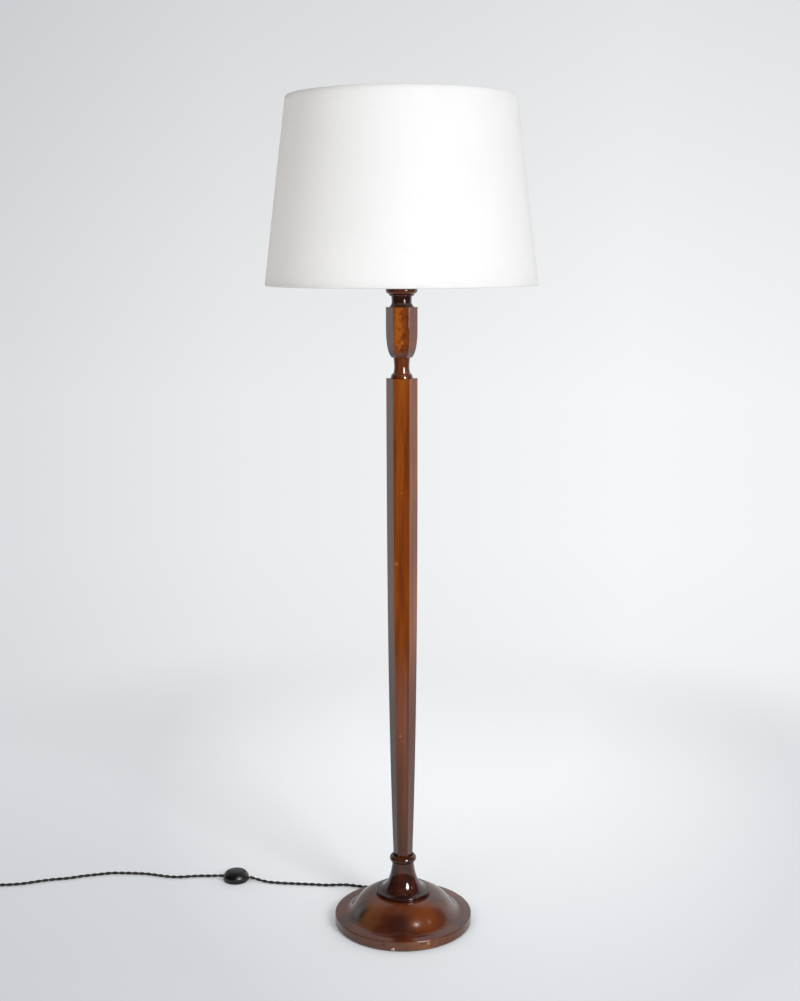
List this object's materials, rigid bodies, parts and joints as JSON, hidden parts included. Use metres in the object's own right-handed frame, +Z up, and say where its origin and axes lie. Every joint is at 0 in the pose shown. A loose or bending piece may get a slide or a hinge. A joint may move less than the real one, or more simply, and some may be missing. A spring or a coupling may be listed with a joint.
{
  "type": "candlestick floor lamp",
  "caption": "Turned wooden candlestick floor lamp with a hexagonal tapered column, linen drum shade, foot switch, twisted flex and plug.",
  "frame": {"origin": "on the floor, on the column's axis, under the middle of the base", "axes": "+Z up along the column, -Y to the front that the picture shows, -X to the foot switch"},
  "size_m": [1.3116, 0.511, 1.6112],
  "materials": {
    "base_wood": "French-polished mahogany, worn at the rim",
    "pedestal_wood": "French-polished dark mahogany",
    "column_wood": "French-polished mahogany",
    "neck_wood": "French-polished dark mahogany",
    "urn_wood": "French-polished mahogany",
    "capital_wood": "French-polished dark mahogany",
    "baize": "green baize",
    "ballast_iron": "as cast",
    "screw_steel": "bright steel",
    "grommet_rubber": "black rubber",
    "flex_fabric": "black braided twisted flex",
    "holder_brass": "polished brass",
    "contact_brass": "plain brass",
    "core_phenolic": "brown phenolic",
    "bulb_aluminium": "satin",
    "bulb_opal": "opal",
    "carrier_steel": "white coated wire",
    "shade_linen": "white linen",
    "shade_liner": "white lining sheet",
    "switch_plastic": "black, satin gloss",
    "rotor_nylon": "natural nylon",
    "spring_steel": "spring wire",
    "plug_plastic": "black moulded",
    "fuse_ceramic": "plain"
  },
  "bodies": {
    "lamp": {"base_plate": "base_wood", "base_baize": "baize", "ballast_weight": "ballast_iron", "ballast_screws": "screw_steel", "pedestal_screws": "screw_steel", "flex_grommet": "grommet_rubber", "pedestal": "pedestal_wood", "column": "column_wood", "neck": "neck_wood", "urn": "urn_wood", "capital": "capital_wood", "inner_flex": "flex_fabric", "holder_nipple": "holder_brass", "holder_cap": "holder_brass", "holder_body": "holder_brass", "holder_core": "core_phenolic", "holder_plungers": "contact_brass", "clamp_ring": "holder_brass", "bulb_cap": "bulb_aluminium", "bulb_glass": "bulb_opal", "flex_lamp_side": "flex_fabric", "flex_ferrule": "screw_steel", "switch_base": "switch_plastic", "switch_screws": "screw_steel", "switch_contacts": "contact_brass", "switch_spring": "spring_steel", "switch_cover": "switch_plastic", "flex_plug_side": "flex_fabric", "flex_coil": "flex_fabric", "flex_tail": "flex_fabric", "plug_base": "plug_plastic", "plug_cover": "plug_plastic", "plug_pins": "contact_brass", "plug_fuse": "fuse_ceramic", "plug_screw": "screw_steel"},
    "shade": {"fitter_ring": "carrier_steel", "shade_spokes": "carrier_steel", "shade_bottom_wire": "carrier_steel", "shade_top_wire": "carrier_steel", "shade_bottom_hem": "shade_linen", "shade_top_hem": "shade_linen", "shade_lining": "shade_liner", "shade_cover": "shade_linen"},
    "button": {"switch_button": "switch_plastic"},
    "rotor": {"switch_rotor": "rotor_nylon"}
  },
  "joints": [
    {"name": "shade_turn", "type": "hinge", "parent": "lamp", "child": "shade", "pos_m": [0, 0, 1.2919], "axis": [0, 0, 1], "continuous": true},
    {"name": "switch_press", "type": "slide", "parent": "lamp", "child": "button", "axis": [0, 0, -1], "range_m": [0, 0.003], "stiffness_N_per_m": 1500, "springref_m": -0.001, "deforming": ["switch_spring"]},
    {"name": "rotor_turn", "type": "hinge", "parent": "lamp", "child": "rotor", "pos_m": [-0.367, 0.175, 0.0057], "axis": [0, 0, 1], "range_deg": [0, 45]}
  ],
  "couplings": [
    {"joint": "rotor_turn", "follows": "switch_press", "rad_per_m": 261.8}
  ]
}
